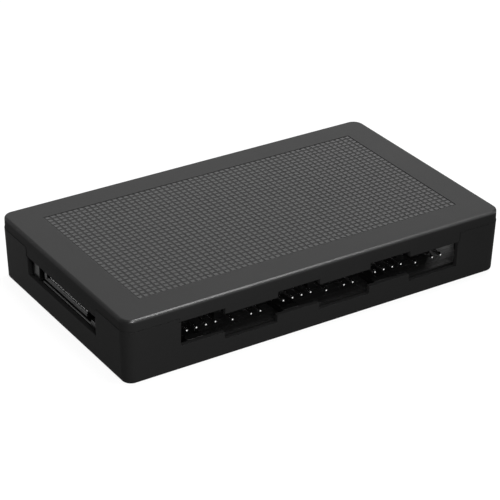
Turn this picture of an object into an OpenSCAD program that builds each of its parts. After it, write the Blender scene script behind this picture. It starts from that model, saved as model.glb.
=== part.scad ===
// Fan and lighting splitter for a computer case.
// A flat two-part moulded box stands on z = 0 with its centre over the origin.
// The front faces -Y, the power inlet faces -X and the control inputs face +X.
// All sizes are in millimetres.

/* [Case] */
// Length of the case from end to end
case_length = 106; // [100:1:130]
// Width of the case from front to back
case_width = 62; // [58:1:80]
// Height of the case
case_height = 16.8; // [16.4:0.2:24]
// Height of the cover's skirt below the top of the case
skirt_height = 3; // [2.4:0.1:3.4]
// Plan radius of the case's corners
corner_radius = 3; // [3:0.5:5]
// Radius of the base's bottom edge
base_edge_radius = 0.8; // [0.4:0.1:1.2]
// Radius of the cover's top edge
cover_edge_radius = 0.6; // [0.3:0.1:1]
// Thickness of the side walls
wall = 1.2; // [1:0.1:1.4]
// Thickness of the base's floor
floor_thickness = 1.6; // [1.4:0.1:2]
// Thickness of the cover's top
top_thickness = 1.5; // [1.2:0.1:2]
// Length of the shallow field in the top that holds the grid of dots
field_length = 89.9; // [80:0.5:92]
// Width of the field of dots
field_width = 46.5; // [40:0.5:48]
// Shift of the field of dots towards the rear
field_shift = 0.3; // [0:0.1:1]
// Depth of the field of dots
field_depth = 0.1; // [0.05:0.05:0.3]
// Lean of the base's walls, in degrees
base_draft = 2.1; // [0.5:0.1:2.5]
// Lean of the cover's skirt, in degrees
cover_draft = 0.6; // [0:0.1:2]
// Step from the base's rim in to the cover's skirt
cover_step = 0.1; // [0:0.05:0.3]
// Gap between the cover's tabs and the notches that take them
seam_gap = 0.1; // [0.05:0.05:0.2]
// Reach of a tab past each end of its opening
tab_ledge = 0.4; // [0.3:0.1:0.8]
// Reach of the cover's corner lips down inside the base
lip_drop = 1.5; // [1:0.1:2.5]
// Thickness of the corner lips
lip_thickness = 0.8; // [0.6:0.1:1]
// Gap between the corner lips and the base's walls
lip_gap = 0.15; // [0.1:0.05:0.3]
// Length of each corner lip along the sides
lip_run = 10; // [6:0.5:12]

/* [Port windows] */
// Shift of the long sides' port rows towards their right end
port_row_shift = 0.7; // [0:0.1:1.5]
// Width of a fan window
fan_window_width = 11.75; // [11.4:0.05:12.5]
// Height of a fan window
fan_window_height = 6.35; // [5.9:0.05:6.6]
// Width of a lighting window
light_window_width = 14.4; // [13.4:0.1:15]
// Height of a lighting window
light_window_height = 6.7; // [6.2:0.1:7]
// Drop of a lighting window's sill below the board's top
light_sill_drop = 0.4; // [0.1:0.1:0.8]
// Rise of the fan windows' and the inlet's sills above the board's top
raised_sill = 1.5; // [1.3:0.1:1.8]

/* [Circuit board] */
// Thickness of the circuit board
board_thickness = 1.6; // [1:0.1:2]
// Height of the posts that carry the board above the floor
post_height = 1.8; // [1.6:0.1:2.6]
// Radius of the board's corners
board_corner = 2; // [1:0.5:3]
// Gap between the board's edge and the walls
board_gap = 0.3; // [0.2:0.1:0.6]
// Diameter of the two posts under the middle of the board
post_diameter = 4; // [3:0.5:6]
// Distance of those two posts from the centre
post_spacing = 18; // [10:1:30]

/* [Headers] */
// Distance between neighbouring pins
pin_pitch = 2.54; // [2.5:0.01:2.6]
// Width of a square pin
pin_width = 0.64; // [0.5:0.01:0.7]
// Gap round a pin in its header and in the board
pin_gap = 0.05; // [0.02:0.01:0.1]
// Reach of a pin below the board
pin_tail = 1.2; // [0.8:0.1:1.4]
// Distance of a bend behind its header
bend_setback = 0.5; // [0.4:0.1:1]
// Depth of the fan pins' tips behind the case's side
fan_tip_depth = 1.06; // [0.8:0.02:2]
// Height of the fan pins above the board
fan_pin_height = 4.5; // [4.2:0.1:4.8]
// Free length of the fan pins
fan_pin_length = 7.5; // [6:0.1:8.5]
// Depth of the fan header's body from front to back
fan_body_depth = 3.2; // [2.6:0.1:4]
// Height of the fan header's body above its pins
fan_body_rise = 2.5; // [1.5:0.1:3]
// Width of the fan header's locking tab
lock_width = 4.6; // [4:0.1:7]
// Thickness of the locking tab
lock_thickness = 1.5; // [1.2:0.1:1.7]
// Rise of the ramp on the locking tab
lock_ramp = 0.35; // [0.2:0.05:0.5]
// Depth of the locking tab's end behind the case's side
lock_tip_depth = 1.6; // [1.6:0.05:3]
// Depth of the lighting pins' tips behind the case's side
light_tip_depth = 2.42; // [2.2:0.02:3]
// Height of the lighting pins above the board
light_pin_height = 2.72; // [2.6:0.02:3]
// Free length of the lighting pins
light_pin_length = 6; // [5:0.1:7]
// Depth of the lighting header's body from front to back
light_body_depth = 2.5; // [2.2:0.1:3]

/* [Power inlet] */
// Width of the inlet's opening
inlet_width = 33.6; // [33:0.1:36]
// Height of the inlet's opening
inlet_height = 4.9; // [4.6:0.1:5.1]
// Width of the inlet's housing
housing_width = 32; // [31:0.1:32.5]
// Depth of the inlet's housing from front to back
housing_depth = 11; // [10:0.5:14]
// Height of the housing's back above the board
housing_height = 7.4; // [6.8:0.1:8]
// Depth of the housing's front edge behind the case's end
housing_tip_depth = 1.65; // [1.6:0.05:2.5]
// Thickness of the housing's floor
housing_floor = 1.7; // [1.5:0.1:2]
// Chamfer on the floor's front edge
housing_chamfer = 0.25; // [0.1:0.05:0.5]
// Diameter of the two pegs that locate the housing on the board
peg_diameter = 1.5; // [1:0.1:2]
// Width between the housing's two guide posts
guide_width = 25.6; // [25:0.1:26.5]
// Reach of the guide posts past the housing's front edge
guide_reach = 0.5; // [0.2:0.1:0.8]
// Height of the keyed guide post above the board
tall_guide_height = 6.1; // [5.4:0.1:6.2]
// Height of the other guide post above the board
low_guide_height = 3.4; // [2.8:0.1:4]
// Thickness of the housing's back
housing_back = 3; // [2:0.5:4]
// Width of the contact blade
blade_width = 21; // [20.6:0.1:21.4]
// Thickness of the contact blade
blade_thickness = 1.23; // [1.1:0.01:1.4]
// Height of the blade's underside above the board
blade_height = 2.7; // [2.4:0.1:3]
// Depth of the blade's tip behind the case's end
blade_tip_depth = 1.4; // [1.2:0.1:2]
// Height of the blade's key
key_height = 2.3; // [1.5:0.1:2.4]
// Width of the blade's key
key_width = 1.2; // [1:0.1:1.3]
// Number of contacts on the blade
contact_count = 15; // [9:2:15]
// Distance between neighbouring contacts
contact_pitch = 1.27; // [1.2:0.01:1.27]
// Width of a contact
contact_width = 0.84; // [0.6:0.02:0.9]
// Shift of the row of contacts away from the key
contact_shift = 0.6; // [0.4:0.1:0.7]
// Length of a contact's foot on the board
contact_foot = 1.5; // [1:0.1:2]
// Thickness of a contact
contact_thickness = 0.15; // [0.1:0.05:0.25]

/* [Case screws] */
// Distance of each screw from the case's two nearest sides
screw_inset = 6; // [6:0.5:8]
// Diameter of a screw's shank
screw_diameter = 2.4; // [2:0.1:2.6]
// Length of a screw under its head
screw_length = 8; // [6:0.5:9]
// Diameter of a screw's head
head_diameter = 4.6; // [4:0.1:5]
// Height of a screw's head
head_height = 1.4; // [1:0.1:1.5]
// Gap round a screw's shank in the cover's bosses
screw_gap = 0.05; // [0.02:0.01:0.1]
// Depth of the pilot hole in each boss
pilot_depth = 8; // [6:0.5:9]
// Depth of the well that takes a screw's head
well_depth = 1.6; // [1.5:0.1:1.8]
// Diameter of the pillars that the screws pass through
pillar_diameter = 7.6; // [7.2:0.1:8]
// Diameter of the cover's screw bosses
boss_diameter = 5.6; // [5:0.1:6]

/* [Components] */
// Length of a buffer chip's body
chip_length = 8.65; // [8.4:0.05:10]
// Width of a buffer chip's body
chip_width = 3.9; // [3.5:0.1:5]
// Height of a buffer chip's body
chip_height = 1.5; // [1:0.1:2]
// Diameter of a power capacitor
capacitor_diameter = 6.3; // [4:0.1:8]
// Height of a power capacitor above the board
capacitor_height = 5.8; // [4:0.1:7.5]
// Height of the square foot under a power capacitor's can
capacitor_foot = 0.8; // [0.5:0.1:1.2]
// Depth of the groove crimped round the can
capacitor_groove = 0.25; // [0.1:0.05:0.4]
// Length of a resettable fuse
fuse_length = 4.6; // [3:0.1:5]
// Width of a resettable fuse
fuse_width = 3.2; // [2:0.1:4]
// Thickness of a resettable fuse
fuse_thickness = 0.9; // [0.6:0.1:1.5]
// Length of a chip resistor or a ceramic capacitor
chip_part_length = 2; // [1.6:0.1:2.4]
// Height of a ceramic capacitor
ceramic_height = 0.8; // [0.6:0.1:1.2]
// Height of a chip resistor
resistor_height = 0.45; // [0.35:0.05:0.6]

/* [Hidden] */

// Heights that the pieces share
parting = case_height - skirt_height;
board_bottom = floor_thickness + post_height;
board_top = board_bottom + board_thickness;
ceiling = case_height - top_thickness;
fan_pin_z = board_top + fan_pin_height;
light_pin_z = board_top + light_pin_height;
fan_sill = board_top + raised_sill;
light_sill = board_top - light_sill_drop;
inlet_sill = board_top + raised_sill;
housing_floor_top = board_top + housing_floor;

// Port layout along a side, with four pin slots to each header
port_count = 3;
port_pitch = fan_window_width + light_window_width;
fan_centre = fan_window_width / 2;
light_centre = fan_window_width + light_window_width / 2;
header_width = 4 * pin_pitch;
fan_slots = [0, 1, 2, 3];
light_slots = [0, 2, 3];
pin_hole = norm([pin_width, pin_width]) + 2 * pin_gap;

// Depths at which the headers' bodies start and their pins turn down
fan_body_front = fan_tip_depth + fan_pin_length;
fan_bend = fan_body_front + fan_body_depth + bend_setback + pin_width / 2;
light_body_front = light_tip_depth + light_pin_length;
light_bend = light_body_front + light_body_depth + bend_setback + pin_width / 2;

// Centre lines that the case's round corners turn about
core_x = case_length / 2 - corner_radius;
core_y = case_width / 2 - corner_radius;

// Reach of the base's outside past the corner centres at a height
function base_reach(z) = corner_radius - (parting - z) * tan(base_draft);
cover_reach = corner_radius - cover_step;
cover_top_reach = cover_reach - skirt_height * tan(cover_draft);

// Half sizes of the board, which clears the walls at its underside
board_half_x = core_x + base_reach(board_bottom) - wall - board_gap;
board_half_y = core_y + base_reach(board_bottom) - wall - board_gap;
screw_x = case_length / 2 - screw_inset;
screw_y = case_width / 2 - screw_inset;
screw_clearance = 0.4;
head_clearance = 0.6;

// Inlet layout, with the key at the left end as seen from outside
housing_end = housing_tip_depth + housing_depth;
housing_back_front = housing_end - housing_back;
blade_bottom = board_top + blade_height;
blade_top = blade_bottom + blade_thickness;
contact_setback = 0.5;
contact_bend = housing_end + contact_setback;

// Places of the components on the board
capacitor_x = -31;
fuse_x = -22;
chip_x = 9;
power_y = 7;
chip_y = 5;

// Gull-wing leads of a buffer chip, and the gap under its body
chip_leads = 7;
lead_pitch = 1.27;
lead_width = 0.4;
lead_reach = 1;
lead_thickness = 0.2;
chip_seat = 0.15;

// Reach of a cut past the face that it opens
past = 1;
$fn = 48;

// Section of a block on both sides of its middle
module both_sides(core, outline, round) {
  last = len(outline) - 1;
  right_side = [for (p = outline) [core + p[0], p[1]]];
  left_side = [for (i = [0:last]) [-right_side[last - i][0], right_side[last - i][1]]];
  polygon(concat(right_side, left_side));
  for (turn = [0, 1]) mirror([turn, 0]) translate([core, 0]) edge_round(round);
}

// Section of a block's round corner, from the corner's centre line outwards
module corner_section(outline, round) {
  last = len(outline) - 1;
  polygon(concat([[0, outline[0][1]]], outline, [[0, outline[last][1]]]));
  edge_round(round);
}

// Quarter disc that rounds an edge
module edge_round(round) {
  if (len(round) > 0)
    translate([whole_micron(round[0]), whole_micron(round[1])]) rotate(round[3]) intersection() {
      circle(round[2]);
      square(2 * round[2]);
    }
}

// Value moved to a whole micrometre, so that flat sides and round corners
// that share it meet without a step
function whole_micron(value) = round(value * 1000) / 1000;

// Block with leaning sides and round plan corners. Its outline gives the
// reach past the corner centres at each height, from the bottom up. Where
// the outline has a square notch, its round is [reach, height, radius, turn]
// and fills the notch with a quarter disc turned by that angle.
module leaning_block(outline, round = []) {
  line = [for (p = outline) [whole_micron(p[0]), whole_micron(p[1])]];
  rotate([90, 0, 0])
    linear_extrude(2 * core_y, center = true) both_sides(core_x, line, round);
  rotate([90, 0, 90])
    linear_extrude(2 * core_x, center = true) both_sides(core_y, line, round);
  for (sx = [-1, 1], sy = [-1, 1])
    translate([sx * core_x, sy * core_y, 0])
      rotate_extrude() corner_section(line, round);
}

// Prism along x from a section given as depth and height
module across(width, points) {
  translate([-width / 2, 0, 0])
    rotate([90, 0, 90]) linear_extrude(width) polygon(points);
}

// Places children on one side of the case: x then runs to the right along
// the side as seen from outside, y runs in from the side and z runs up
module on_side(turn, reach) rotate([0, 0, turn]) translate([0, -reach, 0]) children();
module on_front() on_side(0, case_width / 2) children();
module on_rear() on_side(180, case_width / 2) children();
module on_right() on_side(90, case_length / 2) children();
module on_left() on_side(-90, case_length / 2) children();

// Left end of a port in a row
function port_x(count, shift, i) = shift + (i - count / 2) * port_pitch;

// Places children at one port, at the middle of its fan or lighting window
module on_port(side, i, centre) {
  row = port_x(port_count, port_row_shift, i) + centre;
  if (side == "front") on_front() translate([row, 0, 0]) children();
  if (side == "rear") on_rear() translate([row, 0, 0]) children();
  if (side == "input") on_right() translate([port_x(1, 0, 0) + centre, 0, 0]) children();
}

// Repeats children at every port
module on_all_ports(centre) {
  for (i = [0:port_count - 1]) {
    on_port("front", i, centre) children();
    on_port("rear", i, centre) children();
  }
  on_port("input", 0, centre) children();
}

// Repeats children at the four corner screws
module at_screws() {
  for (sx = [-1, 1], sy = [-1, 1])
    translate([sx * screw_x, sy * screw_y, 0]) children();
}

// Openings of a row of ports, each as [left, right, sill, head]
function port_windows(count, shift) =
  [for (i = [0:count - 1])
    let (x = port_x(count, shift, i))
    each [
      [x, x + fan_window_width, fan_sill, fan_sill + fan_window_height],
      [x + fan_window_width, x + port_pitch, light_sill, light_sill + light_window_height]
    ]];

long_side_windows = port_windows(port_count, port_row_shift);
input_windows = port_windows(1, 0);
inlet_windows = [[-inlet_width / 2, inlet_width / 2, inlet_sill, inlet_sill + inlet_height]];

// Prism through a side wall over an area given as [left, right, low, high]
module through_wall(area) {
  translate([area[0], -past, area[2]])
    cube([area[1] - area[0], 3 * wall + past, area[3] - area[2]]);
}

// Area over a row of windows, up past the parting line, that a tab of the
// cover fills, grown by a gap at the ledges on which its two ends sit
module tab_area(windows, gap) {
  last = len(windows) - 1;
  for (i = [0:last]) {
    w = windows[i];
    left = w[0] - (i == 0 ? tab_ledge + gap : 0);
    right = w[1] + (i == last ? tab_ledge + gap : 0);
    through_wall([left, right, w[3] - gap, parting + past]);
  }
}

// Windows, and over them the notches that the cover's tabs fill
module side_cuts(windows) {
  for (w = windows) through_wall(w);
  tab_area(windows, seam_gap);
}

// Moulded tub with the windows, the screw pillars and the board's posts
module base_shell() {
  edge = base_edge_radius;
  side = base_reach(edge);
  outside = [[side - edge, 0], [side - edge, edge], [side, edge],
    [base_reach(parting), parting]];
  inside = [[base_reach(floor_thickness) - wall, floor_thickness],
    [base_reach(parting + past) - wall, parting + past]];
  color("#262626") difference() {
    union() {
      difference() {
        leaning_block(outside, [side - edge, edge, edge, -90]);
        leaning_block(inside);
        on_front() side_cuts(long_side_windows);
        on_rear() side_cuts(long_side_windows);
        on_right() side_cuts(input_windows);
        on_left() side_cuts(inlet_windows);
      }
      at_screws() pillar(pillar_diameter);
      for (sx = [-1, 1]) translate([sx * post_spacing, 0, 0]) pillar(post_diameter);
    }
    at_screws() {
      translate([0, 0, -past])
        cylinder(d = head_diameter + head_clearance, h = well_depth + past);
      cylinder(d = screw_diameter + screw_clearance, h = board_bottom + past);
    }
  }
}

// Round pillar from the floor up to the board
module pillar(diameter) {
  translate([0, 0, floor_thickness / 2])
    cylinder(d = diameter, h = board_bottom - floor_thickness / 2);
}

// Moulded cover with its skirt, tabs, corner lips, screw bosses and the field
// of dots
module top_cover() {
  edge = cover_edge_radius;
  shoulder = case_height - edge;
  outside = [[cover_reach, parting], [cover_top_reach, shoulder],
    [cover_top_reach - edge, shoulder], [cover_top_reach - edge, case_height]];
  inside = [[cover_reach - wall, parting - past], [cover_reach - wall, ceiling]];
  color("#3c3c3c") difference() {
    union() {
      difference() {
        leaning_block(outside, [cover_top_reach - edge, shoulder, edge, 0]);
        leaning_block(inside);
      }
      tab_skin() {
        on_front() tab_area(long_side_windows, 0);
        on_rear() tab_area(long_side_windows, 0);
        on_right() tab_area(input_windows, 0);
        on_left() tab_area(inlet_windows, 0);
      }
      corner_lips();
      at_screws() translate([0, 0, board_top])
        cylinder(d = boss_diameter, h = ceiling + top_thickness / 2 - board_top);
    }
    at_screws() translate([0, 0, board_top - past])
      cylinder(d = screw_diameter + 2 * screw_gap, h = pilot_depth + past);
    translate([0, field_shift, case_height - field_depth])
      linear_extrude(field_depth + past) square([field_length, field_width], center = true);
  }
}

// Keeps what lies in the skin of the base's walls, from the board up to
// inside the cover's skirt
module tab_skin() {
  outside = [[base_reach(board_bottom) - cover_step, board_bottom],
    [cover_reach, parting],
    [cover_reach - wall / 2, parting + wall / 2]];
  inside = [[base_reach(board_bottom - past) - wall, board_bottom - past],
    [base_reach(parting) - wall, parting],
    [base_reach(parting) - wall, parting + past]];
  intersection() {
    difference() {
      leaning_block(outside);
      leaning_block(inside);
    }
    children();
  }
}

// Lips inside the base's walls at the corners, which locate the cover
module corner_lips() {
  outer = base_reach(parting - lip_drop) - wall - lip_gap;
  inner = outer - lip_thickness;
  root = ceiling + top_thickness / 2;
  outside = [[outer, parting - lip_drop], [outer, parting],
    [cover_reach - wall / 2, parting], [cover_reach - wall / 2, root]];
  inside = [[inner, parting - lip_drop - past], [inner, root + past]];
  intersection() {
    difference() {
      leaning_block(outside);
      leaning_block(inside);
    }
    for (sx = [-1, 1], sy = [-1, 1])
      translate([sx * (case_length - lip_run) / 2, sy * (case_width - lip_run) / 2, 0])
        linear_extrude(case_height) square(lip_run, center = true);
  }
}

// Pan-head screws, driven from below through the base and board into the cover
module case_screws() {
  cone = screw_diameter / 2;
  slot = [head_diameter / 2, head_height / 3, head_height];
  color("#8c8c8c") at_screws() translate([0, 0, well_depth]) difference() {
    union() {
      translate([0, 0, -head_height]) cylinder(d = head_diameter, h = head_height);
      cylinder(d = screw_diameter, h = screw_length - cone);
      translate([0, 0, screw_length - cone])
        cylinder(d1 = screw_diameter, d2 = screw_diameter / 3, h = cone);
    }
    for (turn = [0, 90])
      rotate([0, 0, turn]) translate([0, 0, -head_height]) cube(slot, center = true);
  }
}

// Board with holes for the screws, the pins and the inlet's pegs
module circuit_board() {
  color("#101410") difference() {
    translate([0, 0, board_bottom]) linear_extrude(board_thickness) board_outline();
    at_screws() board_hole(screw_diameter + screw_clearance);
    on_all_ports(fan_centre) at_slots(fan_slots, fan_bend) board_hole(pin_hole);
    on_all_ports(light_centre) at_slots(light_slots, light_bend) board_hole(pin_hole);
    at_pegs() board_hole(peg_diameter + 2 * pin_gap);
  }
}

module board_outline() {
  inner_x = board_half_x - board_corner;
  inner_y = board_half_y - board_corner;
  square([2 * inner_x, 2 * board_half_y], center = true);
  square([2 * board_half_x, 2 * inner_y], center = true);
  for (sx = [-1, 1], sy = [-1, 1])
    translate([sx * inner_x, sy * inner_y]) circle(board_corner);
}

module board_hole(diameter) {
  translate([0, 0, board_bottom - past])
    cylinder(d = diameter, h = board_thickness + 2 * past, $fn = 16);
}

// Repeats children at some of a header's pin slots, at a depth
module at_slots(slots, depth) {
  for (s = slots) translate([(s - 1.5) * pin_pitch, depth, 0]) children();
}

// Repeats children at the two pegs under the inlet's guide posts
module at_pegs() {
  on_left() for (sx = [-1, 1])
    translate([sx * (guide_width + housing_width) / 4, housing_end - housing_back, 0])
      children();
}

// Bent square pins with bevelled ends: level at the front, then down through
// the board behind the header
module pin_set(slots, tip, bend, height) {
  half = pin_width / 2;
  point = half / 2;
  bevel = pin_width;
  tail = board_bottom - pin_tail;
  side = [[tip, height - point], [tip, height + point], [tip + bevel, height + half],
    [bend + half, height + half], [bend + half, tail + half], [bend + point, tail],
    [bend - point, tail], [bend - half, tail + half], [bend - half, height - half],
    [tip + bevel, height - half]];
  plan = [[-point, tip], [point, tip], [half, tip + bevel], [half, bend + half],
    [-half, bend + half], [-half, tip + bevel]];
  color("#c8c8c8") at_slots(slots, 0) intersection() {
    across(pin_width, side);
    translate([0, 0, tail]) linear_extrude(height + half - tail) polygon(plan);
  }
}

// Passages for the pins through a header's body
module pin_passages(slots, front, depth, height) {
  bore = pin_width + 2 * pin_gap;
  at_slots(slots, front - past) translate([-bore / 2, 0, height - bore / 2])
    cube([bore, depth + 2 * past, bore]);
}

// Four-way header with a locking tab that reaches forward under its pins
module fan_header() {
  front = fan_body_front;
  back = front + fan_body_depth;
  top = fan_pin_z + fan_body_rise;
  chamfer = fan_body_depth / 5;
  body = [[front, board_top], [front, top], [back - chamfer, top],
    [back, top - chamfer], [back, board_top]];
  tab_top = board_top + lock_thickness;
  tab = [[lock_tip_depth, board_top], [lock_tip_depth, tab_top],
    [lock_tip_depth + 4 * lock_ramp, tab_top + lock_ramp],
    [lock_tip_depth + 5 * lock_ramp, tab_top], [front + chamfer, tab_top],
    [front + chamfer, board_top]];
  color("#161616") difference() {
    union() {
      across(header_width, body);
      translate([-pin_pitch / 2, 0, 0]) across(lock_width, tab);
    }
    pin_passages(fan_slots, front, fan_body_depth, fan_pin_z);
  }
}

// Plain header with one of its four slots left empty
module light_header() {
  front = light_body_front;
  back = front + light_body_depth;
  top = light_pin_z + pin_pitch / 2;
  chamfer = light_body_depth / 5;
  body = [[front, board_top], [front, top - chamfer], [front + chamfer, top],
    [back - chamfer, top], [back, top - chamfer], [back, board_top]];
  color("#161616") difference() {
    across(header_width, body);
    pin_passages(light_slots, front, light_body_depth, light_pin_z);
  }
}

module fan_pins() pin_set(fan_slots, fan_tip_depth, fan_bend, fan_pin_z);
module light_pins() pin_set(light_slots, light_tip_depth, light_bend, light_pin_z);

// Housing of the power inlet: floor, back, two guide posts and the blade
module power_inlet_housing() {
  tip = housing_tip_depth;
  post = (housing_width - guide_width) / 2;
  post_centre = (housing_width + guide_width) / 4;
  color("#1a1a1a") difference() {
    union() {
      on_left() {
        across(guide_width + post, [[tip, board_top],
          [tip, housing_floor_top - housing_chamfer], [tip + housing_chamfer, housing_floor_top],
          [housing_end, housing_floor_top], [housing_end, board_top]]);
        across(housing_width, [[housing_back_front, board_top],
          [housing_back_front, board_top + housing_height],
          [housing_end, board_top + housing_height], [housing_end, board_top]]);
        translate([-post_centre, 0, 0]) guide_post(post, tall_guide_height);
        translate([post_centre, 0, 0]) guide_post(post, low_guide_height);
        blade();
      }
      at_pegs() translate([0, 0, board_bottom])
        cylinder(d = peg_diameter, h = board_thickness + housing_floor / 2);
    }
    on_left() at_contacts() across(contact_width + 2 * pin_gap,
      [[housing_back_front, blade_top], [housing_back_front, blade_top + contact_thickness + pin_gap],
        [housing_end + past, blade_top + contact_thickness + pin_gap],
        [housing_end + past, blade_top]]);
  }
}

// Guide post whose nose reaches into the inlet's opening
module guide_post(width, height) {
  tip = housing_tip_depth;
  nose_tip = tip - guide_reach;
  nose_low = inlet_sill + seam_gap;
  top = board_top + height;
  across(width, [[tip, board_top], [tip, nose_low], [nose_tip, nose_low],
    [nose_tip, top - guide_reach / 2], [nose_tip + guide_reach / 2, top],
    [housing_end, top], [housing_end, board_top]]);
}

// Blade that carries the contacts, with its key at the left end
module blade() {
  bevel = blade_thickness / 4;
  across(blade_width, [[blade_tip_depth, blade_bottom + bevel],
    [blade_tip_depth, blade_top - bevel], [blade_tip_depth + bevel, blade_top],
    [housing_end, blade_top], [housing_end, blade_bottom],
    [blade_tip_depth + bevel, blade_bottom]]);
  translate([(key_width - blade_width) / 2, 0, 0])
    across(key_width, [[blade_tip_depth, blade_bottom + bevel],
      [blade_tip_depth, blade_top + key_height - bevel],
      [blade_tip_depth + bevel, blade_top + key_height],
      [housing_end, blade_top + key_height], [housing_end, blade_bottom + bevel]]);
}

// Repeats children at the contacts across the blade
module at_contacts() {
  for (i = [0:contact_count - 1])
    translate([(i - (contact_count - 1) / 2) * contact_pitch + contact_shift, 0, 0])
      children();
}

// Contacts that lie on the blade, pass through the housing's back and stand
// on the board
module power_inlet_contacts() {
  start = blade_tip_depth + contact_setback;
  end = contact_bend + contact_thickness;
  color("#c8b070") on_left() at_contacts() across(contact_width,
    [[start, blade_top], [start, blade_top + contact_thickness],
      [end, blade_top + contact_thickness], [end, board_top + contact_thickness],
      [end + contact_foot, board_top + contact_thickness],
      [end + contact_foot, board_top], [contact_bend, board_top],
      [contact_bend, blade_top]]);
}

// Chip with a row of bent leads along both long sides
module buffer_chip() {
  thick = lead_thickness;
  shoulder = chip_height / 2;
  lead = [[-thick, shoulder], [2 * thick, shoulder], [2 * thick, thick],
    [lead_reach, thick], [lead_reach, 0], [thick, 0], [thick, shoulder - thick],
    [-thick, shoulder - thick]];
  color("#202020") translate([0, 0, board_top]) {
    translate([-chip_length / 2, -chip_width / 2, chip_seat])
      cube([chip_length, chip_width, chip_height - chip_seat]);
    for (turn = [0, 180], i = [0:chip_leads - 1])
      rotate([0, 0, turn])
        translate([(i - (chip_leads - 1) / 2) * lead_pitch - lead_width / 2, chip_width / 2, 0])
          rotate([90, 0, 90]) linear_extrude(lead_width) polygon(lead);
  }
}

// Can on a square foot, with a crimped groove near the foot
module power_capacitor() {
  r = capacitor_diameter / 2;
  foot = capacitor_foot;
  groove = capacitor_groove;
  color("#a8a8a8") translate([0, 0, board_top]) {
    translate([-r, -r, 0]) cube([2 * r, 2 * r, foot]);
    translate([0, 0, foot]) rotate_extrude() polygon([[0, 0], [r, 0], [r, foot],
      [r - groove, foot + groove], [r, foot + 2 * groove],
      [r, capacitor_height - foot - groove], [r - groove, capacitor_height - foot],
      [0, capacitor_height - foot]]);
  }
}

// Flat fuse with notched metal ends
module power_fuse() {
  notch = fuse_width / 5;
  color("#305030") translate([0, 0, board_top]) linear_extrude(fuse_thickness) difference() {
    square([fuse_length, fuse_width], center = true);
    for (sx = [-1, 1]) translate([sx * fuse_length / 2, 0]) circle(notch);
  }
}

// Rows of small parts beside the chips
module chip_parts(count, y, height) {
  gap = chip_part_length * 0.9;
  for (i = [0:count - 1])
    translate([(i - (count - 1) / 2) * gap, y, board_top])
      translate([-chip_part_length / 4, -chip_part_length / 2, 0])
        cube([chip_part_length / 2, chip_part_length, height]);
}

module ceramic_capacitors()
  color("#8c7050") chip_parts(6, -chip_y - chip_width, ceramic_height);
module chip_resistors() color("#181818") chip_parts(10, 0, resistor_height);

base_shell();
top_cover();
case_screws();
circuit_board();
power_inlet_housing();
power_inlet_contacts();
for (side = ["front", "rear"], i = [0:port_count - 1]) {
  on_port(side, i, fan_centre) fan_header();
  on_port(side, i, fan_centre) fan_pins();
  on_port(side, i, light_centre) light_header();
  on_port(side, i, light_centre) light_pins();
}
on_port("input", 0, fan_centre) fan_header();  // input_fan_header
on_port("input", 0, fan_centre) fan_pins();  // input_fan_pins
on_port("input", 0, light_centre) light_header();  // input_light_header
on_port("input", 0, light_centre) light_pins();  // input_light_pins
translate([-chip_x / 2, chip_y, 0]) buffer_chip();  // fan_buffer_chip
translate([chip_x, chip_y, 0]) buffer_chip();  // light_buffer_chip
translate([capacitor_x, power_y, 0]) power_capacitor();  // fan_power_capacitor
translate([capacitor_x, -power_y, 0]) power_capacitor();  // light_power_capacitor
translate([fuse_x, power_y, 0]) power_fuse();  // fan_power_fuse
translate([fuse_x, -power_y, 0]) power_fuse();  // light_power_fuse
ceramic_capacitors();
chip_resistors();
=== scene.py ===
from math import cos, radians, sin

import bpy
from mathutils import Matrix, Vector


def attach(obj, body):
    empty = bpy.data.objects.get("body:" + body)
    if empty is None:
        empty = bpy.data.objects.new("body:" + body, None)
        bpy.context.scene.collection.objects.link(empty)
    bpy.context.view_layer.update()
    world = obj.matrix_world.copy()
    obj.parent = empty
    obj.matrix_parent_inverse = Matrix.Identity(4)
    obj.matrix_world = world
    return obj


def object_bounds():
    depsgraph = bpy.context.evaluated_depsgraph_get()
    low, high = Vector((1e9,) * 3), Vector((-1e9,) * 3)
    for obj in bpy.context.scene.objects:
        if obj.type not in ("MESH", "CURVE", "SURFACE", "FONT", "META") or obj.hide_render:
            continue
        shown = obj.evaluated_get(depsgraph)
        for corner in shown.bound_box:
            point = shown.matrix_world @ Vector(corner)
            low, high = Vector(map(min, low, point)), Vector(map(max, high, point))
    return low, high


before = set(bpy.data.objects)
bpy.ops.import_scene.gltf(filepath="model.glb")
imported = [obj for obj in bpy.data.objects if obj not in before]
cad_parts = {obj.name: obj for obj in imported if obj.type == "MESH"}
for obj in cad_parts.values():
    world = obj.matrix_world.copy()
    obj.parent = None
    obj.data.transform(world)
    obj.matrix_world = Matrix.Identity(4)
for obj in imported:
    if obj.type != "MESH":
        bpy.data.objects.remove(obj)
cad_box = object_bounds()


# Base shell
# The lower half of the case: one tub moulded in black plastic, with a fine
# spark-eroded grain on its four sides. It holds the board on its pillars, and
# its stepped openings let the plugs in.
mm = 0.001
flow_size = 14 * mm
edge_round = 0.25 * mm


def grey(level):
    """A neutral colour from its level on a screen, from 0 to 255."""
    share = level / 255
    linear = share / 12.92 if share <= 0.04045 else ((share + 0.055) / 1.055) ** 2.4
    return (linear, linear, linear, 1)


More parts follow.
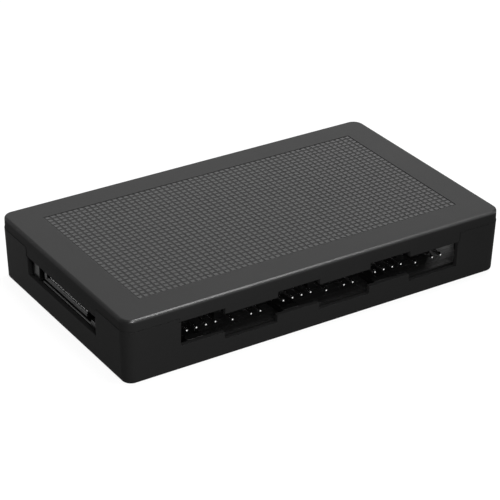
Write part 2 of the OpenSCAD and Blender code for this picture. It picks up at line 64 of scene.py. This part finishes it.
class Shade:
    """A number or colour on its way to a finish. Arithmetic on it adds the nodes."""

    def __init__(self, tree, socket):
        self.tree = tree
        self.socket = socket

    def node(self, kind, settings=None, inputs=None, output=0):
        """A node of that kind with its settings made first, then its sockets fed."""
        made = self.tree.nodes.new(kind)
        for name, value in (settings or {}).items():
            setattr(made, name, value)
        for name, value in (inputs or {}).items():
            if isinstance(value, Shade):
                self.tree.links.new(value.socket, made.inputs[name])
            else:
                made.inputs[name].default_value = value
        return Shade(self.tree, made.outputs[output])

    def sum(self, operation, first, second):
        return self.node("ShaderNodeMath", {"operation": operation}, {0: first, 1: second})

    def __add__(self, other):
        return self.sum("ADD", self, other)

    def __radd__(self, other):
        return self.sum("ADD", other, self)

    def __sub__(self, other):
        return self.sum("SUBTRACT", self, other)

    def __rsub__(self, other):
        return self.sum("SUBTRACT", other, self)

    def __mul__(self, other):
        return self.sum("MULTIPLY", self, other)

    def __truediv__(self, other):
        return self.sum("DIVIDE", self, other)

    def most(self, other):
        return self.sum("MAXIMUM", self, other)

    def least(self, other):
        return self.sum("MINIMUM", self, other)

    def size(self):
        return self.sum("ABSOLUTE", self, 0.0)

    def clipped(self):
        return self.most(0.0).least(1.0)

    def along(self, axis):
        """How far this place lies along X, Y or Z."""
        return self.node("ShaderNodeSeparateXYZ", None, {0: self}, axis)

    def between(self, low, high):
        """A colour between two, by this share."""
        return self.node("ShaderNodeMix", {"data_type": "RGBA"}, {0: self, 6: low, 7: high}, 2)

    def speckle(self, size, detail=2):
        """Noise on this place, with specks of about that size."""
        return self.node("ShaderNodeTexNoise", None, {"Vector": self, "Scale": 1 / size, "Detail": detail})

    def softened(self):
        """The way the surface faces, with its sharp edges rounded off."""
        return self.node("ShaderNodeBevel", {"samples": 6}, {"Radius": edge_round})

    def relief(self, depth, over=None):
        """The tilt of the surface that this height, from 0 to 1, gives it."""
        inputs = {"Height": self, "Distance": depth, "Strength": 1.0}
        if over is not None:
            inputs["Normal"] = over
        return self.node("ShaderNodeBump", None, inputs)

    def feeds(self, target, name):
        self.tree.links.new(self.socket, target.inputs[name])


def finish(name, **constants):
    """A new material, its shader, and the place on the piece."""
    material = bpy.data.materials.new(name)
    material.use_nodes = True
    tree = material.node_tree
    shader = tree.nodes["Principled BSDF"]
    for socket, value in constants.items():
        shader.inputs[socket.replace("_", " ")].default_value = value
    return material, shader, Shade(tree, tree.nodes.new("ShaderNodeTexCoord").outputs["Object"])


def dress(material, *nodes):
    """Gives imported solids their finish."""
    for node in nodes:
        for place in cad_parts[node].material_slots:
            place.material = material


def moulded_plastic(name, dark, light, roughness, grain_size, grain_depth, gloss):
    """Moulded plastic: faint flow marks, a fine grain and an even sheen."""
    material, shader, place = finish(name, Specular_IOR_Level=gloss)
    flow = place.speckle(flow_size)
    grain = place.speckle(grain_size, 3)
    (flow * 0.6 + grain * 0.4).between(grey(dark), grey(light)).feeds(shader, "Base Color")
    (roughness - 0.06 + grain * 0.12).feeds(shader, "Roughness")
    grain.relief(grain_depth, place.softened()).feeds(shader, "Normal")
    return material


case_plastic = moulded_plastic(
    "case_plastic", dark=22, light=27, roughness=0.75,
    grain_size=0.32 * mm, grain_depth=0.03 * mm, gloss=0.04,
)
dress(case_plastic, "base_shell")


# Circuit board
# A glass-fibre board under black solder mask, held on the base's pillars by
# the four case screws. Copper tracks show as faint raised lines under the
# mask.
track_pitch = 1.9 * mm

board_finish, board_shader, board_place = finish("board_laminate", Specular_IOR_Level=0.4)
tracks = board_place.node(
    "ShaderNodeTexBrick",
    {"offset": 0.5, "squash": 1.0},
    {"Vector": board_place, "Scale": 1.0, "Brick Width": 7 * track_pitch, "Row Height": track_pitch,
     "Mortar Size": 0.12 * track_pitch, "Mortar Smooth": 0.2},
    1,
)
tracks.between(grey(9), grey(14)).feeds(board_shader, "Base Color")
(0.32 + board_place.speckle(0.6 * mm) * 0.16).feeds(board_shader, "Roughness")
tracks.relief(0.03 * mm).feeds(board_shader, "Normal")
dress(board_finish, "circuit_board")


# Chips and small parts on the board
# Two buffer chips in moulded resin, two aluminium can capacitors, two
# resettable fuses and rows of ceramic capacitors and chip resistors, all
# soldered to the board's top.
chip_resin = moulded_plastic(
    "chip_resin", dark=24, light=32, roughness=0.62,
    grain_size=0.12 * mm, grain_depth=0.01 * mm, gloss=0.3,
)
dress(chip_resin, "fan_buffer_chip", "light_buffer_chip")

can_finish, can_shader, can_place = finish("capacitor_can", Metallic=1.0)
lengthways = can_place.node("ShaderNodeMapping", None, {"Vector": can_place, "Scale": (1, 1, 12)})
drawn = lengthways.speckle(0.4 * mm)
drawn.between(grey(168), grey(206)).feeds(can_shader, "Base Color")
(0.24 + drawn * 0.16).feeds(can_shader, "Roughness")
drawn.relief(0.005 * mm).feeds(can_shader, "Normal")
dress(can_finish, "fan_power_capacitor", "light_power_capacitor")

fuse_greens = (0.03, 0.09, 0.035, 1), (0.04, 0.12, 0.05, 1)
fuse_finish, fuse_shader, fuse_place = finish("fuse_coating")
fuse_place.speckle(0.5 * mm).between(*fuse_greens).feeds(fuse_shader, "Base Color")
(0.4 + fuse_place.speckle(0.2 * mm) * 0.15).feeds(fuse_shader, "Roughness")
fuse_place.speckle(0.2 * mm).relief(0.008 * mm).feeds(fuse_shader, "Normal")
dress(fuse_finish, "fan_power_fuse", "light_power_fuse")

ceramic_tans = (0.22, 0.15, 0.08, 1), (0.3, 0.21, 0.12, 1)
ceramic_finish, ceramic_shader, ceramic_place = finish("ceramic")
ceramic_place.speckle(0.3 * mm).between(*ceramic_tans).feeds(ceramic_shader, "Base Color")
(0.45 + ceramic_place.speckle(0.1 * mm) * 0.15).feeds(ceramic_shader, "Roughness")
dress(ceramic_finish, "ceramic_capacitors")

resistor_film = moulded_plastic(
    "resistor_film", dark=20, light=28, roughness=0.4,
    grain_size=0.1 * mm, grain_depth=0.005 * mm, gloss=0.4,
)
dress(resistor_film, "chip_resistors")


# Pin headers
# Each port is a pair of right-angle headers in black glass-filled nylon: a
# four-pin fan header with its locking tab, and a lighting header with one of
# four slots left empty. The pins are tinned square wire.
ports = [f"{side}_{kind}_header_{number}" for side in ("front", "rear")
         for kind in ("fan", "light") for number in (1, 2, 3)]
ports += ["input_fan_header", "input_light_header"]

connector_plastic = moulded_plastic(
    "connector_plastic", dark=5, light=8, roughness=0.3,
    grain_size=0.2 * mm, grain_depth=0.01 * mm, gloss=0.14,
)
dress(connector_plastic, *ports)

tin_finish, tin_shader, tin_place = finish("pin_metal", Metallic=1.0)
plating = tin_place.speckle(0.25 * mm)
plating.between(grey(214), grey(240)).feeds(tin_shader, "Base Color")
(0.14 + plating * 0.12).feeds(tin_shader, "Roughness")
plating.relief(0.006 * mm).feeds(tin_shader, "Normal")
dress(tin_finish, *[port.replace("header", "pins") for port in ports])


# Power inlet
# A shrouded edge inlet: black nylon housing with two guide posts and a keyed
# blade, and fifteen plated contacts that lie along the blade.
inlet_plastic = moulded_plastic(
    "inlet_plastic", dark=18, light=24, roughness=0.26,
    grain_size=0.2 * mm, grain_depth=0.006 * mm, gloss=0.08,
)
dress(inlet_plastic, "power_inlet_housing")

contact_finish, contact_shader, contact_place = finish("contact_metal", Metallic=0.7)
wear = contact_place.speckle(0.3 * mm)
wear.between(grey(222), grey(242)).feeds(contact_shader, "Base Color")
(0.32 + wear * 0.2).feeds(contact_shader, "Roughness")
wear.relief(0.005 * mm).feeds(contact_shader, "Normal")
dress(contact_finish, "power_inlet_contacts")


# Top cover
# The upper half of the case, moulded in the same black plastic. Its top is
# silky, its skirt has the base's grain, and handling has polished the two long
# edges. Its tabs close the openings, and the case screws bite in its bosses.
top_roughness = 0.4
skirt_roughness = 0.8
worn_roughness = 0.26
edge_band = 0.75 * mm
worn_fade = 0.4 * mm
grain_top = 0.45 * mm
grain_fade = 0.8 * mm

cover_plastic, cover_shader, cover_place = finish(
    "cover_plastic", Specular_IOR_Level=0.05, Coat_Roughness=0.28
)
flow = cover_place.speckle(flow_size)
silk = cover_place.speckle(0.22 * mm, 3)
beside = cover_place.along("Y").size() - (cad_box[1].y - edge_band)
above = cover_place.along("Z") - (cad_box[1].z - edge_band)
worn = (beside.least(above) / worn_fade).clipped()
grained = ((grain_top - above) / grain_fade).clipped()
(flow * 0.6 + silk * 0.4).between(grey(22), grey(28)).feeds(cover_shader, "Base Color")
(top_roughness + silk * 0.1 + worn * (worn_roughness - top_roughness)
 + grained * (skirt_roughness - top_roughness)).feeds(cover_shader, "Roughness")
(worn * 0.7).feeds(cover_shader, "Coat Weight")
silk.relief(0.012 * mm, cover_place.softened()).feeds(cover_shader, "Normal")
dress(cover_plastic, "top_cover")


# Grid of dots
# Small square dots, polished in the mould, stand in a regular grid in the
# cover's shallow field. They end just below the margin round it. Their colour
# is a few levels lighter than the cover's plastic: a painted sheen on top of
# their real gloss.
dot_pitch = 1.55 * mm
dot_columns = 58
dot_rows = 30
dot_width = 1.2 * mm
dot_height = 0.12 * mm
dot_drop = 0.03 * mm
dot_taper = 0.84
field_shift = 0.3 * mm

dot_rule = bpy.data.node_groups.new("dot_grid_rule", "GeometryNodeTree")
dot_rule.interface.new_socket(name="Geometry", in_out="OUTPUT", socket_type="NodeSocketGeometry")
dot_sizes = {}
for label, kind, value in (
    ("Pitch", "Float", dot_pitch),
    ("Columns", "Int", dot_columns),
    ("Rows", "Int", dot_rows),
    ("Dot Width", "Float", dot_width),
    ("Dot Height", "Float", dot_height),
    ("Top Share", "Float", dot_taper),
    ("Field Middle", "Vector", (0, field_shift, cad_box[1].z - dot_drop - dot_height / 2)),
    ("Finish", "Material", None),
):
    made = dot_rule.interface.new_socket(name=label, in_out="INPUT", socket_type="NodeSocket" + kind)
    dot_sizes[label] = (made.identifier, value)


def rule_node(kind, settings=None, inputs=None):
    """A node of the dots' rule, with its settings made first, then its sockets fed."""
    made = dot_rule.nodes.new(kind)
    for name, value in (settings or {}).items():
        setattr(made, name, value)
    for name, value in (inputs or {}).items():
        if isinstance(value, bpy.types.NodeSocket):
            dot_rule.links.new(value, made.inputs[name])
        else:
            made.inputs[name].default_value = value
    return made.outputs


def rule_run(count):
    """How far a row of that many dots reaches, from the first one's middle to the last one's."""
    gaps = rule_node("ShaderNodeMath", {"operation": "SUBTRACT"}, {0: count, 1: 1.0})[0]
    return rule_node("ShaderNodeMath", {"operation": "MULTIPLY"}, {0: size_of["Pitch"], 1: gaps})[0]


size_of = rule_node("NodeGroupInput")
places = rule_node("GeometryNodeMeshGrid", None, {
    "Size X": rule_run(size_of["Columns"]), "Size Y": rule_run(size_of["Rows"]),
    "Vertices X": size_of["Columns"], "Vertices Y": size_of["Rows"],
})["Mesh"]
places = rule_node("GeometryNodeTransform", None, {
    "Geometry": places, "Translation": size_of["Field Middle"],
})[0]
dot_size = rule_node("ShaderNodeCombineXYZ", None, {
    "X": size_of["Dot Width"], "Y": size_of["Dot Width"], "Z": size_of["Dot Height"],
})[0]
dot = rule_node("GeometryNodeMeshCube", None, {"Size": dot_size})["Mesh"]
where = rule_node("GeometryNodeInputPosition")[0]
height = rule_node("ShaderNodeSeparateXYZ", None, {0: where})["Z"]
upper = rule_node("FunctionNodeCompare", {"data_type": "FLOAT", "operation": "GREATER_THAN"}, {
    0: height, 1: 0.0,
})[0]
shrink = rule_node("ShaderNodeCombineXYZ", None, {
    "X": size_of["Top Share"], "Y": size_of["Top Share"], "Z": 1.0,
})[0]
drawn_in = rule_node("ShaderNodeVectorMath", {"operation": "MULTIPLY"}, {0: where, 1: shrink})[0]
dot = rule_node("GeometryNodeSetPosition", None, {
    "Geometry": dot, "Selection": upper, "Position": drawn_in,
})[0]
dots = rule_node("GeometryNodeInstanceOnPoints", None, {"Points": places, "Instance": dot})[0]
dots = rule_node("GeometryNodeRealizeInstances", None, {"Geometry": dots})[0]
dots = rule_node("GeometryNodeSetMaterial", None, {"Geometry": dots, "Material": size_of["Finish"]})[0]
dot_rule.links.new(dots, dot_rule.nodes.new("NodeGroupOutput").inputs[0])

# The same plastic as the cover, coloured a few levels lighter as a painted sheen
dot_plastic_painted_sheen = moulded_plastic(
    "dot_gloss_painted_sheen", dark=28, light=34, roughness=0.36,
    grain_size=0.2 * mm, grain_depth=0.004 * mm, gloss=0.11,
)

dot_grid = bpy.data.objects.new("dot_grid", bpy.data.meshes.new("dot_grid"))
bpy.context.scene.collection.objects.link(dot_grid)
pattern = dot_grid.modifiers.new("dots", "NODES")
pattern.node_group = dot_rule
for identifier, value in dot_sizes.values():
    pattern[identifier] = dot_plastic_painted_sheen if value is None else value
solid_dots = bpy.data.meshes.new_from_object(
    dot_grid.evaluated_get(bpy.context.evaluated_depsgraph_get())
)
dot_grid.modifiers.remove(pattern)
dot_grid.data = solid_dots
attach(dot_grid, "root")


# Case screws
# Four pan-head screws in plated steel with a cross recess. They are driven
# from below in the base's wells, and hold the base, the board and the cover.
screw_finish, screw_shader, screw_place = finish("screw_steel", Metallic=1.0)
turned = screw_place.speckle(0.35 * mm)
turned.between(grey(120), grey(160)).feeds(screw_shader, "Base Color")
(0.28 + turned * 0.2).feeds(screw_shader, "Roughness")
turned.relief(0.008 * mm).feeds(screw_shader, "Normal")
dress(screw_finish, "case_screws")


# Studio
# A pale floor and a plain backdrop, white to the camera and in reflections. A
# strip overhead and a wide softbox behind on the right light the top, and
# small weak lamps lift the front, the left end and the power inlet's lip.
floor_size = 6.0
floor_gap = 0.02 * mm
paper_grey = (0.12, 0.12, 0.12, 1)
paper_white = (0.88, 0.88, 0.88, 1)
backdrop_white = (1, 1, 1, 1)
room_dark = (0.06, 0.06, 0.06, 1)


def seen_share(tree):
    """How much of the white a ray sees: all of it for the camera, in a reflection and
    through a clear piece, and none for the light that falls on the object."""
    rays = tree.nodes.new("ShaderNodeLightPath").outputs
    direct = Shade(tree, rays["Is Camera Ray"]) + Shade(tree, rays["Is Transmission Ray"])
    return direct + Shade(tree, rays["Is Glossy Ray"])


half = floor_size / 2
corners = [(x, y, -floor_gap) for x, y in ((-half, -half), (half, -half), (half, half), (-half, half))]
floor_mesh = bpy.data.meshes.new("floor")
floor_mesh.from_pydata(corners, [], [(0, 1, 2, 3)])
floor = bpy.data.objects.new("floor", floor_mesh)
bpy.context.scene.collection.objects.link(floor)
paper, paper_shader, paper_place = finish(
    "floor_paper", Base_Color=paper_grey, Roughness=0.9, Specular_IOR_Level=0.0, Emission_Strength=1.0
)
seen_share(paper.node_tree).between((0, 0, 0, 1), paper_white).feeds(paper_shader, "Emission Color")

# The floor is clear from below, so that the underside can be looked at
from_below = paper_place.node("ShaderNodeNewGeometry", output="Backfacing")
clear = paper_place.node("ShaderNodeBsdfTransparent")
paper_sheet = Shade(paper.node_tree, paper_shader.outputs["BSDF"])
one_sided = paper_place.node("ShaderNodeMixShader", None, {0: from_below, 1: paper_sheet, 2: clear})
one_sided.feeds(paper.node_tree.nodes["Material Output"], "Surface")
floor_mesh.materials.append(paper)

world = bpy.data.worlds.new("studio")
world.use_nodes = True
bpy.context.scene.world = world
backdrop = world.node_tree.nodes["Background"]
seen_share(world.node_tree).between(room_dark, backdrop_white).feeds(backdrop, "Color")


def lamp(name, place, width, height, power, mirrored=True):
    """A soft rectangular lamp that looks at the object, and may be kept out of reflections."""
    light = bpy.data.lights.new(name, "AREA")
    light.shape = "RECTANGLE"
    light.size, light.size_y = width, height
    light.energy = power
    stand = bpy.data.objects.new(name, light)
    bpy.context.scene.collection.objects.link(stand)
    stand.location = place
    stand.rotation_euler = (-Vector(place)).to_track_quat("-Z", "Y").to_euler()
    stand.visible_glossy = mirrored


lamp("strip", (0.13, 0.05, 0.48), 0.1, 0.3, 3.1)
lamp("softbox", (0.476, 0.74, 0.476), 0.9, 0.6, 3.1)
lamp("fill_lamp", (-0.075, -0.19, 0.1), 0.08, 0.08, 0.48)
lamp("front_lamp", (0.215, -0.285, 0.444), 0.08, 0.15, 1.1)
lamp("rim_lamp", (-0.075, 0.09, 0.012), 0.05, 0.02, 0.06, mirrored=False)
lamp("lip_lamp", (-0.17, 0.185, 0.13), 0.1, 0.05, 0.13)

# The camera looks at the front and the left end from above
azimuth = radians(-32.774)
elevation = radians(28.403)
roll = radians(0.668)
camera_distance = 503.43 * mm
camera_shift = (0.305 * mm, -5.384 * mm)
back = Vector((sin(azimuth) * cos(elevation), -cos(azimuth) * cos(elevation), sin(elevation)))
across = Vector((0, 0, 1)).cross(back).normalized()
rise = back.cross(across)
level = across * cos(roll) + rise * sin(roll)
upright = rise * cos(roll) - across * sin(roll)
stance = Matrix((level, upright, back)).transposed().to_4x4()
stance.translation = back * camera_distance - level * camera_shift[0] - upright * camera_shift[1]
camera_data = bpy.data.cameras.new("camera")
camera_data.sensor_width = 36
camera_data.lens = 146.15
camera = bpy.data.objects.new("camera", camera_data)
bpy.context.scene.collection.objects.link(camera)
camera.matrix_world = stance
bpy.context.scene.camera = camera
bpy.context.scene.view_settings.view_transform = "Standard"
